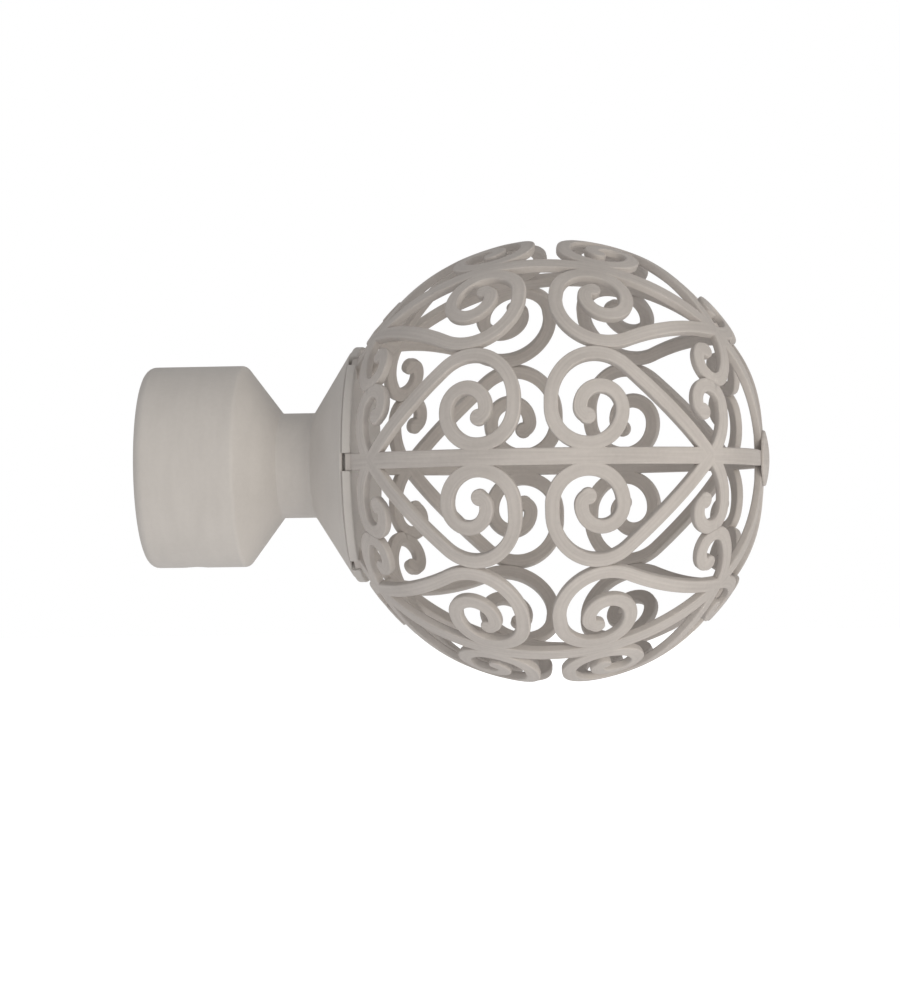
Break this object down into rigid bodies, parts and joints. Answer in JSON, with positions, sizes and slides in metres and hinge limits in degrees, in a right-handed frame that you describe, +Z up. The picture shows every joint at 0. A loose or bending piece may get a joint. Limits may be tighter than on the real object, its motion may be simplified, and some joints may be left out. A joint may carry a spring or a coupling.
{
  "type": "curtain pole finial",
  "caption": "Curtain pole finial: an open ball of scrollwork petals on a turned collar that fits over the end of a round pole and is held by a grub screw.",
  "frame": {"origin": "centre of the mouth of the pole socket", "axes": "+X runs along the pole's axis from the pole towards the ball, +Z is up with the pole level, and -Y faces the room"},
  "size_m": [0.1081, 0.076, 0.076],
  "materials": {
    "collar_paint": "satin stone-grey paint, faintly brushed",
    "scroll_paint": "satin stone-grey paint with faint brush marks along the strips",
    "fastener_steel": "plain steel"
  },
  "bodies": {
    "root": {"socket": "collar_paint", "base_plate": "collar_paint", "stud": "fastener_steel", "grub_screw": "fastener_steel", "end_button": "scroll_paint", "petal_1": "scroll_paint", "petal_2": "scroll_paint", "petal_3": "scroll_paint", "petal_4": "scroll_paint", "petal_5": "scroll_paint", "petal_6": "scroll_paint"}
  },
  "joints": []
}
